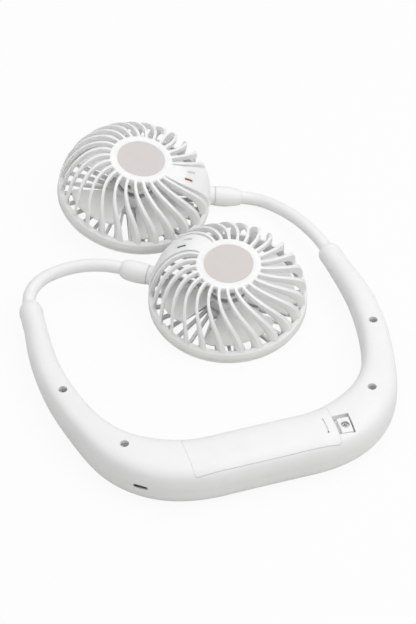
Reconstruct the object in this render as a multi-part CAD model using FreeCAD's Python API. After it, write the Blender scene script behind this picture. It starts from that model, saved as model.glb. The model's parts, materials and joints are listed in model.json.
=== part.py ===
"""Neck-worn twin fan: a U-shaped neckband with a battery bay and two goosenecks that carry caged fans.

Millimetres, +Z up. The origin is on the flat rest face under the middle of the neckband.
+X is the wearer-side right of the band, +Y runs along the arms to the fans.
"""
import FreeCAD, Part
import math
import os

V = FreeCAD.Vector
UP = V(0, 0, 1)

# Neckband: plan path of the right half, from the middle to the arm end
back_half_length = 24.6
corner_radius = 50.0
corner_turn_deg = 68.9
arm_radius = 153.0
arm_turn_deg = 27.1
arm_end_length = 17.0

# Neckband: section sizes along that path
band_half_width = 14.1
sole_depth = 0.3
arm_root_half_width = 7.7
arm_root_half_height = 9.3
arm_tip_radius = 5.8
taper_start = 40.0
taper_end = 100.0
band_section_power = 3.2
stations_per_half = 12
section_points = 20
wall = 1.5
parting_gap = 0.05
seat_gap = 0.2
overrun = 6.0

# Shell screws, one near each corner and one on each arm
corner_screw_run = 67.2
arm_screw_run = 117.0
screw_head_radius = 1.9
screw_head_height = 1.4
screw_shank_radius = 1.0
screw_end_margin = 2.2
screw_sink = 1.9
screw_hole_radius = 2.2
boss_radius = 3.6
pilot_gap = 0.03
drive_slot_width = 0.5
drive_slot_length = 2.2
drive_slot_depth = 0.7

# Battery door, its captive screw and the cell behind it
door_end_margin = 4.3
door_hinge_margin = 3.7
door_near_edge = -11.8
door_far_edge = 11.8
door_corner_radius = 1.6
door_gap = 0.2
door_end_gap = 0.08
door_tab_width = 4.0
door_tab_spread = 5.0
door_tab_reach = 2.4
door_tab_thickness = 1.2
door_tab_drop = 3.2
pocket_length = 8.3
pocket_width = 11.4
pocket_offset = -1.8
pocket_gap = 0.35
tongue_low = 5.1
tongue_sink = 3.0
pad_sink = 0.5
pad_gap = 1.9
pad_margin = 0.4
pad_far_margin = 1.5
latch_screw_sink = 0.9
pocket_skirt = 1.0
latch_screw_reach = 3.2
nail_slit_width = 0.9
nail_slit_length = 9.4
nail_slit_depth = 0.8
nail_slit_inset = 4.6
nail_notch_length = 1.5
cell_radius = 9.2
cell_gap = 0.5
cell_length = 65.0
cell_button_radius = 2.8
cell_button_height = 0.9
contact_thickness = 0.6
contact_width = 11.0
contact_height = 10.0
contact_wall = 1.3

# Charging socket and boards
socket_run = 54.7
socket_width = 7.3
socket_height = 2.1
socket_depth = 7.2
socket_skin = 0.35
socket_tongue_height = 0.7
socket_sink = 0.5
socket_gap = 0.15
board_thickness = 1.2
control_board_length = 20.0
control_board_depth = 14.0
control_board_shift = 4.0
control_board_inset = 3.6
board_post_radius = 1.6
board_post_shares = (-0.3, 0.3)

# Power button on the outer side of the right arm
button_run = 138.0
button_radius = 3.0
button_proud = 0.4
button_flange = 0.8
button_travel = 0.5
button_gap = 0.2
button_length = 3.6
switch_size = 4.4
switch_height = 1.7
plunger_radius = 1.0
plunger_height = 0.5
switch_board_length = 8.0
switch_board_height = 9.0

# Arm collars and goosenecks
left_collar_length = 13.4
right_collar_length = 7.0
collar_dome_share = 0.62
collar_lip = 0.5
anchor_length = 9.0
sleeve_radius = 3.3
core_radius = 2.0
core_fit_gap = 0.1
ball_inset = 0.2
ball_gap = 0.3
hinge_shares = (0.17, 0.5, 0.83)
left_neck_ratio_share = 1.5
right_neck_ratio_share = 0.30

# Fan heads, each in its own frame: +X to the neck, +Z to the dome, origin on the rim's lower face
rim_radius = 40.0
rim_wall = 2.1
rim_top = 8.0
rim_split = 2.4
rim_round = 1.2
hub_radius = 16.4
hub_height = 30.0
hub_thickness = 2.0
hub_round = 0.8
label_radius = 12.2
label_thickness = 0.25
label_gap = 0.1
rib_count = 26
rib_thickness = 1.4
rib_depth = 2.8
rib_inset = 0.6
rib_sweep_deg = 27.0
rib_curve_power = 1.5
rib_line_points = 8
dome_bulge_share = 0.7071
channel_lead_deg = 26.0
channel_half_deg = 13.5
channel_ribs = 2
channel_depth = 4.6
channel_wall = 1.8
lens_angles_deg = (-11.5, -23.3)
lens_place_share = 0.4364
lens_length = 4.2
lens_width = 1.2
lens_gap = 0.06
lens_sink = 0.15
lens_drop = 0.3
light_board_gap = 0.7
light_board_length = 6.5
light_board_width = 8.0
stub_rise = 2.4
stub_radius = 4.9
stub_reach = 2.0
spigot_radius = 2.5
spigot_length = 6.0
running_gap = 0.05
boot_length = 14.0
boot_wall = 1.7
boot_nose_wall = 0.9
boot_nose = 6.0
boot_gap = 0.15
grille_bar_count = 30
grille_bar_width = 1.4
grille_bar_lean_deg = 14.0
grille_cap_share = 0.325
grille_sink = 0.3
motor_radius = 8.0
motor_length = 12.5
motor_fit_gap = 0.05
holder_wall = 1.6
holder_depth = 14.5
holder_slot_width = 2.4
holder_slot_height = 3.0
holder_slot_count = 6
shaft_radius = 1.0
impeller_gap = 1.0
impeller_hub_radius = 10.5
impeller_hub_wall = 1.4
impeller_low = 3.4
impeller_head_gap = 3.0
blade_count = 4
blade_phase_deg = 16.0
blade_root_chord = 13.5
blade_tip_chord = 33.0
blade_thickness = 1.1
blade_root_pitch_deg = 42.0
blade_tip_pitch_deg = 19.0

# Where the heads lie: shares of the arm end's place across and of the rim radius along
left_head_across_share = 0.251
left_head_along_share = -0.2075
left_head_tilt_deg = 7.2
left_head_tilt_to_deg = -102.4
left_neck_azimuth_deg = 144.9
right_head_across_share = -0.0463
right_head_along_share = 1.9775
right_head_tilt_deg = 10.3
right_head_tilt_to_deg = -47.0
right_neck_azimuth_deg = -14.3

# Worked out from the sizes above
band_half_height = cell_radius + cell_gap + wall
door_half_length = cell_length / 2 + door_end_margin
door_hinge_end = -cell_length / 2 - door_hinge_margin
ball_radius = sleeve_radius - ball_inset
boot_radius = sleeve_radius + boot_wall
boot_nose_radius = sleeve_radius + boot_nose_wall
screw_length = band_half_height - screw_end_margin
stub_height = sleeve_radius + stub_rise
impeller_radius = rim_radius - rib_inset - channel_depth - impeller_gap
impeller_high = hub_height - hub_thickness - holder_depth - impeller_head_gap
lens_radius = hub_radius + lens_place_share * (rim_radius - hub_radius)
grille_cap_radius = grille_cap_share * rim_radius
parting_height = band_half_height - sole_depth
band_top = parting_height + band_half_height
corner_turn = math.radians(corner_turn_deg)
arm_turn = math.radians(arm_turn_deg)
corner_end = back_half_length + corner_radius * corner_turn
arm_bend_end = corner_end + arm_radius * arm_turn
arm_end = arm_bend_end + arm_end_length
neck_axis_reach = rim_radius + stub_reach + boot_length
SIDES = ("left", "right")
mm_per_metre = 1000


def smooth_step(value):
    """Ease from 0 to 1."""
    held = min(max(value, 0.0), 1.0)
    return held * held * (3 - 2 * held)


def band_place(run):
    """Point and heading of the band path; a negative run is on the left half."""
    side = -1 if run < 0 else 1
    length = abs(run)
    if length <= back_half_length:
        return V(run, 0, 0), 0.0
    heading = min((length - back_half_length) / corner_radius, corner_turn)
    x = back_half_length + corner_radius * math.sin(heading)
    y = corner_radius * (1 - math.cos(heading))
    if length > corner_end:
        bend = min(length, arm_bend_end) - corner_end
        heading = corner_turn + bend / arm_radius
        x += arm_radius * (math.sin(heading) - math.sin(corner_turn))
        y += arm_radius * (math.cos(corner_turn) - math.cos(heading))
    if length > arm_bend_end:
        x += (length - arm_bend_end) * math.cos(heading)
        y += (length - arm_bend_end) * math.sin(heading)
    return V(side * x, y, 0), side * heading


def band_size(run):
    """Half-width, half-height and section power at a run along the path."""
    length = abs(run)
    to_arm = smooth_step((length - taper_start) / (taper_end - taper_start))
    from_tip = (arm_end - length) / (arm_end - taper_end)
    arm_width = arm_tip_radius + from_tip * (arm_root_half_width - arm_tip_radius)
    arm_height = arm_tip_radius + from_tip * (arm_root_half_height - arm_tip_radius)
    to_tip = smooth_step((length - taper_end) / (arm_end - taper_end))
    return (band_half_width + to_arm * (arm_width - band_half_width),
            band_half_height + to_arm * (arm_height - band_half_height),
            band_section_power + to_tip * (2 - band_section_power))


def band_axes(run):
    """Path point at parting height, with the outward and forward directions."""
    point, heading = band_place(run)
    outward = V(math.sin(heading), -math.cos(heading), 0)
    forward = V(math.cos(heading), math.sin(heading), 0)
    return point + UP * parting_height, outward, forward


def band_section(run, inset):
    """Closed section wire, a rounded box that turns into a circle at the arm tip."""
    centre, outward, _ = band_axes(run)
    half_width, half_height, power = band_size(run)
    points = []
    for index in range(section_points):
        turn = 2 * math.pi * index / section_points
        across = math.copysign(abs(math.cos(turn)) ** (2 / power), math.cos(turn))
        upward = math.copysign(abs(math.sin(turn)) ** (2 / power), math.sin(turn))
        points.append(centre + outward * (across * (half_width - inset))
                      + UP * (upward * (half_height - inset)))
    curve = Part.BSplineCurve()
    curve.interpolate(Points=points, PeriodicFlag=True)
    return Part.Wire(curve.toShape())


def band_solid(inset):
    """Solid through all sections from the left arm end to the right one."""
    steps = range(-stations_per_half, stations_per_half + 1)
    runs = [arm_end * step / stations_per_half for step in steps]
    return Part.makeLoft([band_section(run, inset) for run in runs], True)


def block(low, high):
    """Box between two corners."""
    return Part.makeBox(high.x - low.x, high.y - low.y, high.z - low.z, low)


def half_space(low, high):
    """Box over the whole band between two heights."""
    reach = 2 * arm_end
    return block(V(-reach, -reach, low), V(reach, reach, high))


def frame_of(origin, x_axis, z_axis):
    """Placement with the given origin, X axis and Z axis."""
    y_axis = z_axis.cross(x_axis)
    return FreeCAD.Placement(FreeCAD.Matrix(
        x_axis.x, y_axis.x, z_axis.x, origin.x, x_axis.y, y_axis.y, z_axis.y, origin.y,
        x_axis.z, y_axis.z, z_axis.z, origin.z, 0, 0, 0, 1))


def put(shape, placement):
    """Copy of a shape moved into a frame."""
    moved = shape.copy()
    moved.Placement = placement.multiply(moved.Placement)
    return moved


def stadium(width, height, depth):
    """Prism with round ends, long side on X, short side on Y, from 0 along Z."""
    flat = (width - height) / 2
    middle = block(V(-flat, -height / 2, 0), V(flat, height / 2, depth))
    ends = [Part.makeCylinder(height / 2, depth, V(side * flat, 0, 0)) for side in (-1, 1)]
    return middle.fuse(ends).removeSplitter()


def turned(points):
    """Solid turned about Z from (radius, height) corners."""
    corners = [V(radius, 0, height) for radius, height in points]
    face = Part.Face(Part.makePolygon(corners + corners[:1]))
    return face.revolve(V(0, 0, 0), UP, 360)


def screw(length):
    """Pan-head screw with a cross recess, head top at 0, shank down -Z."""
    head = Part.makeCylinder(screw_head_radius, screw_head_height, V(0, 0, -screw_head_height))
    shank = Part.makeCylinder(screw_shank_radius, length, V(0, 0, -length))
    solid = head.fuse(shank).removeSplitter()
    for width, depth in ((drive_slot_length, drive_slot_width), (drive_slot_width, drive_slot_length)):
        corner = V(width / 2, depth / 2, overrun)
        solid = solid.cut(block(V(-corner.x, -corner.y, -drive_slot_depth), corner))
    return solid


def shell_screw_places():
    """Head-top points of the four shell screws."""
    places = []
    for run in (-arm_screw_run, -corner_screw_run, corner_screw_run, arm_screw_run):
        centre, _, _ = band_axes(run)
        places.append(centre + UP * (band_size(run)[1] - screw_sink))
    return places


def socket_frame():
    """Frame of the charging socket: X along the wall, Z outward, origin on the wall's outer face."""
    centre, outward, forward = band_axes(-socket_run)
    return frame_of(centre + outward * band_size(-socket_run)[0], forward, outward)


def button_frame():
    """Frame of the power button: X along the arm, Z outward, origin on the wall's outer face."""
    centre, outward, forward = band_axes(button_run)
    return frame_of(centre + outward * band_size(button_run)[0], forward, outward)


def door_block(gap, end_gap, low):
    """Block over the door's outline with round corners, shrunk by a gap and by another at its two ends."""
    outline = block(V(door_hinge_end + end_gap, door_near_edge + gap, low),
                    V(door_half_length - end_gap, door_far_edge - gap, band_top + overrun))
    upright = [edge for edge in outline.Edges if edge.BoundBox.ZLength > edge.Length / 2]
    return outline.makeFillet(door_corner_radius - gap, upright)


def pocket_block(gap, low):
    """Block over the latch pocket beyond the door's right end, shrunk by a gap."""
    start = door_half_length
    return block(V(start + gap, pocket_offset - pocket_width / 2 + gap, low),
                 V(start + pocket_length - gap, pocket_offset + pocket_width / 2 - gap, band_top + overrun))


def latch_screw_point():
    """Head-top point of the door's captive screw, in the middle of the latch pad."""
    across = door_half_length + (pad_gap + pocket_length - pocket_gap - pad_margin) / 2
    along = pocket_offset + (pad_margin - pad_far_margin) / 2
    return V(across, along, band_top - pad_sink - latch_screw_sink)


def rear_shell(outer, inner):
    """Upper shell with the door opening, latch pocket and screw bosses."""
    low = parting_height + parting_gap / 2
    upper = half_space(low, band_top + overrun)
    shell = outer.cut(inner).common(upper)
    bosses = []
    for place in shell_screw_places():
        boss = Part.makeCylinder(boss_radius, band_top, V(place.x, place.y, low))
        bosses.append(boss.common(outer))
    shell = shell.fuse(bosses)
    for place in shell_screw_places():
        seat = place - UP * screw_head_height
        shell = shell.cut(Part.makeCylinder(screw_hole_radius, band_top, seat))
        shell = shell.cut(Part.makeCylinder(screw_shank_radius + seat_gap, band_top, V(place.x, place.y, 0)))
    base = band_top - tongue_low
    skirt = pocket_block(-pocket_skirt, base).cut(door_block(0, 0, parting_height))
    shell = shell.fuse(skirt.common(outer))
    shell = shell.cut(door_block(0, 0, parting_height + wall))
    shell = shell.cut(pocket_block(0, parting_height + wall))
    return shell.cut(wall_openings())


def front_shell(outer, inner):
    """Lower shell with its flat rest face, screw bosses, board posts and contact walls."""
    high = parting_height - parting_gap / 2
    lower = half_space(0, high)
    shell = outer.cut(inner).common(lower)
    adds = []
    for place in shell_screw_places():
        boss = Part.makeCylinder(boss_radius, high, V(place.x, place.y, 0))
        floor = V(place.x, place.y, wall + sole_depth)
        pilot = Part.makeCylinder(screw_shank_radius + pilot_gap, band_top, floor)
        adds.append(boss.common(outer).cut(pilot))
    for side in (-1, 1):
        start = side * (cell_length / 2 + cell_button_height + contact_thickness + seat_gap)
        ends = sorted((start, start + side * contact_wall))
        adds.append(block(V(ends[0], -band_half_width, 0), V(ends[1], band_half_width, high)).common(outer))
    for post in board_posts():
        adds.append(post.common(outer))
    latch = latch_screw_point()
    latch_top = band_top - tongue_low - seat_gap
    latch_boss = Part.makeCylinder(boss_radius, latch_top, V(latch.x, latch.y, 0)).common(outer)
    hole = Part.makeCylinder(screw_shank_radius + door_gap, band_top, V(latch.x, latch.y, parting_height))
    adds.append(latch_boss.cut(hole))
    shell = shell.fuse(adds).common(half_space(0, band_top))
    return shell.cut(wall_openings())


def wall_openings():
    """Socket slot and button hole through the side wall."""
    slot = stadium(socket_width + 2 * socket_gap, socket_height + 2 * socket_gap, wall + 2 * overrun)
    slot = put(slot.translated(V(0, 0, -wall - overrun / 2)), socket_frame())
    hole = Part.makeCylinder(button_radius + button_gap, 2 * wall + overrun, V(0, 0, -2 * wall))
    return slot.fuse(put(hole, button_frame()))


def shell_screws():
    """The four screws that hold the shells together."""
    return Part.makeCompound([screw(screw_length).translated(place) for place in shell_screw_places()])


def battery_door(outer, inner):
    """Flush door with two hooks at its left end and a screwed latch tongue at its right end."""
    door = outer.cut(inner).common(door_block(door_gap, door_end_gap, parting_height + wall))
    sweep = door_half_length - door_end_gap - door_hinge_end
    hinge = V(door_hinge_end, -band_half_width, band_top)
    door = door.common(Part.makeCylinder(sweep, 2 * band_half_width, hinge, V(0, 1, 0)))
    under = band_top - wall
    left = door_hinge_end
    for side in (-1, 1):
        low_y = side * door_tab_spread - door_tab_width / 2
        low_z = band_top - door_tab_drop - door_tab_thickness
        high_y = low_y + door_tab_width
        end = left + contact_wall
        tab = block(V(left - door_tab_reach, low_y, low_z), V(end, high_y, low_z + door_tab_thickness))
        riser = block(V(left + door_gap, low_y, low_z), V(end, high_y, under + wall / 2))
        door = door.fuse([tab, riser.common(outer)])
    right = door_half_length
    near = pocket_offset - pocket_width / 2 + pocket_gap
    far = pocket_offset + pocket_width / 2 - pocket_gap
    end = right + pocket_length - pocket_gap
    base = band_top - tongue_low
    root = V(right - 2 * contact_wall, near, base)
    pad_skin = band_solid(pad_sink)
    riser = block(root, V(right - door_end_gap, far, band_top)).common(pad_skin)
    tongue = block(root, V(end, far, band_top)).common(band_solid(tongue_sink))
    pad = block(V(right + pad_gap, near + pad_margin, base),
                V(end - pad_margin, far - pad_far_margin, band_top))
    door = door.fuse([riser, tongue, pad.common(pad_skin)])
    latch = latch_screw_point()
    door = door.cut(Part.makeCylinder(screw_head_radius + door_gap, overrun, latch - UP * screw_head_height))
    start = V(latch.x, latch.y, parting_height)
    door = door.cut(Part.makeCylinder(screw_shank_radius + pilot_gap, band_top, start))
    slit_x = right - nail_slit_inset
    slit_y = pocket_offset + pocket_width / 2 - nail_slit_length
    slit = block(V(slit_x - nail_slit_width / 2, slit_y, band_top - nail_slit_depth),
                 V(slit_x + nail_slit_width / 2, slit_y + nail_slit_length, band_top + overrun))
    notch = block(V(slit_x - nail_slit_width / 2, slit_y, band_top - overrun),
                  V(slit_x + nail_slit_width / 2, slit_y + nail_notch_length, band_top + overrun))
    return door.cut(slit.fuse(notch)).removeSplitter()


def door_screw():
    """Captive screw in the door's latch tongue."""
    latch = latch_screw_point()
    under_tongue = latch.z - (band_top - tongue_low)
    return screw(under_tongue + latch_screw_reach - screw_head_height).translated(latch)


def battery_cell():
    """Cylindrical cell lying along the band, raised contact to the right."""
    start = V(-cell_length / 2, 0, parting_height)
    can = Part.makeCylinder(cell_radius, cell_length, start, V(1, 0, 0))
    end = V(cell_length / 2, 0, parting_height)
    button = Part.makeCylinder(cell_button_radius, cell_button_height, end, V(1, 0, 0))
    return can.fuse(button)


def contact(side):
    """Flat contact plate at one end of the cell."""
    reach = cell_length / 2 + (cell_button_height if side > 0 else seat_gap)
    ends = sorted((side * reach, side * (reach + contact_thickness)))
    half = contact_width / 2
    low = parting_height - contact_height / 2
    plate = block(V(ends[0], -half, low), V(ends[1], half, low + contact_height))
    back = side * (cell_length / 2 + cell_button_height + contact_thickness + seat_gap)
    heel = sorted((ends[0], back))
    foot = block(V(heel[0], -half, low), V(heel[1], half, low + contact_thickness))
    return plate.fuse(foot).removeSplitter()


def control_board():
    """Charging and control board under the socket."""
    top = -socket_height / 2
    outer_edge = -control_board_inset
    low_x = control_board_shift - control_board_length / 2
    low = V(low_x, top - board_thickness, outer_edge - control_board_depth)
    return put(block(low, V(low_x + control_board_length, top, outer_edge)), socket_frame())


def board_posts():
    """Posts that hold the charging board off the floor of the lower shell."""
    posts = []
    for share in board_post_shares:
        x = control_board_shift + control_board_length * share
        z = -control_board_inset - control_board_depth / 2
        base = socket_frame().multVec(V(x, 0, z))
        height = parting_height - socket_height / 2 - board_thickness
        posts.append(Part.makeCylinder(board_post_radius, height, V(base.x, base.y, 0)))
    return posts


def usb_socket():
    """Charging socket: a thin oval can with a tongue inside."""
    can = stadium(socket_width, socket_height, socket_depth)
    hollow = stadium(socket_width - 2 * socket_skin, socket_height - 2 * socket_skin, socket_depth)
    can = can.cut(hollow.translated(V(0, 0, socket_skin)))
    half = socket_width / 2 - socket_height / 2
    corner = V(half, socket_tongue_height / 2, socket_depth - wall)
    tongue = block(V(-half, -corner.y, 0), corner)
    solid = can.fuse(tongue).removeSplitter()
    return put(solid.translated(V(0, 0, -socket_depth - socket_sink)), socket_frame())


def power_button():
    """Round button with a retaining flange inside the wall."""
    inside = -wall - button_gap - wall / 2
    cap = Part.makeCylinder(button_radius, button_length + button_proud, V(0, 0, -button_length))
    cap = cap.makeFillet(button_proud / 2, [edge for edge in cap.Edges if edge.BoundBox.ZMin > 0])
    base = V(0, 0, inside - button_flange)
    flange = Part.makeCylinder(button_radius + button_flange, button_flange, base)
    return put(cap.fuse(flange).removeSplitter(), button_frame())


def tact_switch():
    """Push switch behind the power button."""
    top = -button_length - button_travel - button_gap
    half = switch_size / 2
    body = block(V(-half, -half, top - plunger_height - switch_height), V(half, half, top - plunger_height))
    plunger = Part.makeCylinder(plunger_radius, plunger_height, V(0, 0, top - plunger_height))
    return put(body.fuse(plunger).removeSplitter(), button_frame())


def switch_board(cavity):
    """Small board that carries the push switch, trimmed to the arm's inside."""
    top = -button_length - button_travel - button_gap - plunger_height - switch_height
    half = switch_board_length / 2
    plate = block(V(-half, -band_half_height, top - board_thickness), V(half, switch_board_height / 2, top))
    return put(plate, button_frame()).common(cavity)


def arm_frame(side):
    """Frame at an arm end: Z along the arm towards the neck."""
    run = -arm_end if side == "left" else arm_end
    centre, outward, forward = band_axes(run)
    return frame_of(centre, outward, forward * (-1 if side == "left" else 1))


def collar_length(side):
    """Length of one arm's collar."""
    return left_collar_length if side == "left" else right_collar_length


def arm_collar(side):
    """Soft collar over the arm end with a domed shoulder round the neck."""
    length = collar_length(side)
    bore = sleeve_radius + core_fit_gap
    dome_length = length * collar_dome_share
    shoulder = length - dome_length
    mouth = bore + collar_lip
    bulge = (arm_tip_radius - mouth) * dome_bulge_share
    corner = V(mouth + bulge, 0, shoulder + dome_length * dome_bulge_share)
    dome = Part.Arc(V(arm_tip_radius, 0, shoulder), corner, V(mouth, 0, length)).toShape()
    outline = Part.makePolygon([V(mouth, 0, length), V(bore, 0, length), V(bore, 0, 0),
                                V(arm_tip_radius, 0, 0), V(arm_tip_radius, 0, shoulder)])
    face = Part.Face(Part.Wire(Part.__sortEdges__([dome] + outline.Edges)))
    return put(face.revolve(V(0, 0, 0), UP, 360), arm_frame(side))


def neck_anchor(side):
    """Plug inside the arm end that holds the gooseneck's core."""
    plug = Part.makeCylinder(arm_tip_radius - wall - seat_gap, anchor_length, V(0, 0, -anchor_length))
    bore = Part.makeCylinder(core_radius + core_fit_gap, anchor_length + overrun, V(0, 0, -anchor_length))
    return put(plug.cut(bore), arm_frame(side))


def head_frame(side):
    """Frame of a fan head lying with its rim on the ground."""
    end, _ = band_place(arm_end)
    if side == "left":
        across, along = left_head_across_share * end.x, end.y + left_head_along_share * rim_radius
        tilt, toward, azimuth = left_head_tilt_deg, left_head_tilt_to_deg, left_neck_azimuth_deg
    else:
        across, along = right_head_across_share * end.x, end.y + right_head_along_share * rim_radius
        tilt, toward, azimuth = right_head_tilt_deg, right_head_tilt_to_deg, right_neck_azimuth_deg
    lean, to, turn = math.radians(tilt), math.radians(toward), math.radians(azimuth)
    normal = V(math.sin(lean) * math.cos(to), math.sin(lean) * math.sin(to), math.cos(lean))
    height = (rim_radius - rim_round) * math.sin(lean) + rim_round * (1 - math.cos(lean))
    stub = V(math.cos(turn), math.sin(turn), 0)
    stub = (stub - normal * stub.dot(normal)).normalize()
    return frame_of(V(across, along, height), stub, normal)


def axis_of(placement, local):
    """Direction of a frame's local vector."""
    return placement.Rotation.multVec(local)


def arc_piece(start, tangent, end):
    """Arc leaving start along tangent and passing through end."""
    chord = end - start
    side = chord - tangent * chord.dot(tangent)
    toward = V(side).normalize()
    radius = chord.dot(chord) / (2 * side.Length)
    turn = 2 * math.atan2(side.Length, chord.dot(tangent))
    return {"start": start, "tangent": tangent, "toward": toward, "radius": radius, "length": radius * turn}


def line_piece(start, tangent, length):
    """Straight run."""
    return {"start": start, "tangent": tangent, "toward": None, "radius": 0, "length": length}


def piece_place(piece, run):
    """Point and tangent at a run along one piece."""
    if piece["toward"] is None:
        return piece["start"] + piece["tangent"] * run, piece["tangent"]
    turn = run / piece["radius"]
    tangent, toward = piece["tangent"], piece["toward"]
    point = piece["start"] + (tangent * math.sin(turn) + toward * (1 - math.cos(turn))) * piece["radius"]
    return point, tangent * math.cos(turn) + toward * math.sin(turn)


def neck_route(side):
    """Gooseneck path: straight in the arm and collar, two tangent arcs, straight into the boot."""
    arm = arm_frame(side)
    head = head_frame(side)
    along = axis_of(arm, UP)
    inward = axis_of(head, V(-1, 0, 0))
    start = arm.multVec(V(0, 0, collar_length(side)))
    end = head.multVec(V(neck_axis_reach, 0, stub_height))
    ratio = left_neck_ratio_share if side == "left" else right_neck_ratio_share
    chord = end - start
    pull = along + inward * ratio
    square = pull.dot(pull) - (1 + ratio) ** 2
    linear = -2 * chord.dot(pull)
    root = math.sqrt(linear * linear - 4 * square * chord.dot(chord))
    reach = max((-linear - root) / (2 * square), (-linear + root) / (2 * square))
    first = start + along * reach
    last = end - inward * (ratio * reach)
    join = (first * ratio + last) * (1 / (1 + ratio))
    through = (last - first).normalize()
    inside = collar_length(side) + anchor_length
    return [line_piece(start - along * inside, along, inside), arc_piece(start, along, join),
            arc_piece(join, through, end), line_piece(end, inward, boot_length - spigot_length - boot_gap)]


def route_place(route, run):
    """Point and tangent at a run along the whole route."""
    for piece in route[:-1]:
        if run <= piece["length"]:
            return piece_place(piece, run)
        run -= piece["length"]
    return piece_place(route[-1], run)


def route_wire(route, low, high):
    """Wire along a stretch of the route."""
    edges = []
    begin = 0
    for piece in route:
        first = max(low - begin, 0)
        last = min(high - begin, piece["length"])
        begin += piece["length"]
        if last - first < parting_gap:
            continue
        ends = [piece_place(piece, run)[0] for run in (first, (first + last) / 2, last)]
        edges.append(Part.Arc(*ends).toShape() if piece["toward"] is not None
                     else Part.LineSegment(ends[0], ends[2]).toShape())
    return Part.Wire(edges)


def tube(route, low, high, radius):
    """Round rod along a stretch of the route."""
    point, tangent = route_place(route, low)
    ring = Part.Wire(Part.makeCircle(radius, point, tangent))
    return route_wire(route, low, high).makePipeShell([ring], True, False)


def neck_hinges(route):
    """Runs of the three bending points on the free stretch of the neck."""
    start = route[0]["length"]
    free = route[1]["length"] + route[2]["length"]
    return [start + free * share for share in hinge_shares]


def neck_segments(side):
    """Core links and sleeve lengths between the bending points, from the arm to the head."""
    route = neck_route(side)
    hinges = neck_hinges(route)
    total = sum(piece["length"] for piece in route)
    stops = [0] + hinges + [total]
    cores, sleeves = [], []
    for index in range(len(stops) - 1):
        low, high = stops[index], stops[index + 1]
        core = tube(route, low, high, core_radius)
        sleeve_low = anchor_length if index == 0 else low
        sleeve = tube(route, sleeve_low, high, sleeve_radius).cut(
            tube(route, sleeve_low, high, core_radius + core_fit_gap))
        if index > 0:
            socket = Part.makeSphere(ball_radius + ball_gap, route_place(route, low)[0])
            core = core.cut(socket)
            sleeve = sleeve.cut(Part.makeSphere(sleeve_radius + ball_gap, route_place(route, low)[0]))
        if index < len(stops) - 2:
            sleeve = sleeve.cut(Part.makeSphere(sleeve_radius + ball_gap, route_place(route, high)[0]))
            core = core.fuse(Part.makeSphere(ball_radius, route_place(route, high)[0])).removeSplitter()
        cores.append(core)
        sleeves.append(sleeve)
    return cores, sleeves


def head_boot():
    """Bullet-shaped boot between the neck and a head, in the head's frame."""
    base = rim_radius + stub_reach + boot_gap
    length = neck_axis_reach - base
    sleeve_bore = sleeve_radius + core_fit_gap
    pin_bore = spigot_radius + running_gap
    pin_end = spigot_length
    straight = length - boot_nose
    mouth = sleeve_bore + collar_lip
    bulge = (boot_nose_radius - mouth) * dome_bulge_share
    corner = V(mouth + bulge, 0, straight + boot_nose * dome_bulge_share)
    nose = Part.Arc(V(boot_nose_radius, 0, straight), corner, V(mouth, 0, length)).toShape()
    outline = Part.makePolygon([V(mouth, 0, length), V(sleeve_bore, 0, length), V(sleeve_bore, 0, pin_end),
                                V(pin_bore, 0, pin_end), V(pin_bore, 0, 0), V(boot_radius, 0, 0),
                                V(boot_nose_radius, 0, straight)])
    face = Part.Face(Part.Wire(Part.__sortEdges__([nose] + outline.Edges)))
    solid = face.revolve(V(0, 0, 0), UP, 360)
    return put(solid, frame_of(V(base, 0, stub_height), V(0, 1, 0), V(1, 0, 0)))


def dome_arc(depth):
    """Dome profile from the hub edge to the rim, set in by a depth."""
    top = hub_height - depth
    side = rim_radius - rib_inset - depth
    across = side - hub_radius
    tall = top - rim_top
    middle = V(hub_radius + across * dome_bulge_share, 0, rim_top + tall * dome_bulge_share)
    return V(hub_radius, 0, top), middle, V(side, 0, rim_top)


def dome_slope(radius, depth):
    """Height of the dome profile over a radius and its fall there in degrees."""
    curve = Part.Arc(*dome_arc(depth)).toShape().Curve
    out = radius - curve.Center.x
    rise = math.sqrt(curve.Radius ** 2 - out ** 2)
    return curve.Center.z + rise, math.degrees(math.atan2(out, rise))


def dome_band(skin, depth):
    """Turned region between two dome profiles, reaching down into the rim."""
    first, middle, last = dome_arc(skin)
    low_first, low_middle, low_last = dome_arc(depth)
    foot = rim_top - rim_wall
    core = hub_radius - hub_thickness
    outer = Part.Arc(first, middle, last).toShape()
    inner = Part.Arc(low_first, low_middle, low_last).toShape()
    rest = Part.makePolygon([last, V(last.x, 0, foot), V(low_last.x, 0, foot), low_last])
    end = Part.makePolygon([low_first, V(core, 0, low_first.z), V(core, 0, first.z), first])
    face = Part.Face(Part.Wire(Part.__sortEdges__([outer, inner] + rest.Edges + end.Edges)))
    return face.revolve(V(0, 0, 0), UP, 360)


def plan_point(radius, start_deg):
    """Point of a swept rib line in plan."""
    share = max(radius - hub_radius, 0) / (rim_radius - hub_radius)
    turn = math.radians(start_deg + rib_sweep_deg * share ** rib_curve_power)
    return V(radius * math.cos(turn), radius * math.sin(turn), 0)


def rib_line(start_deg, offset):
    """Plan curve of a rib side, from inside the hub to the rim, moved over to the left by an offset."""
    low = hub_radius - hub_thickness
    step = (rim_radius - low) / (rib_line_points - 1)
    points = []
    for index in range(rib_line_points):
        radius = low + step * index
        ahead = plan_point(radius + step / 2, start_deg) - plan_point(radius - step / 2, start_deg)
        points.append(plan_point(radius, start_deg) + UP.cross(ahead).normalize() * offset)
    curve = Part.BSplineCurve()
    curve.interpolate(points)
    return curve.toShape()


def swept_prism(near, far):
    """Upright prism between two rib-side curves."""
    ends = [Part.LineSegment(near.Vertexes[side].Point, far.Vertexes[side].Point).toShape()
            for side in (0, -1)]
    wire = Part.Wire(Part.__sortEdges__([near, far] + ends))
    return Part.Face(wire).extrude(UP * (hub_height + overrun))


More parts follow.
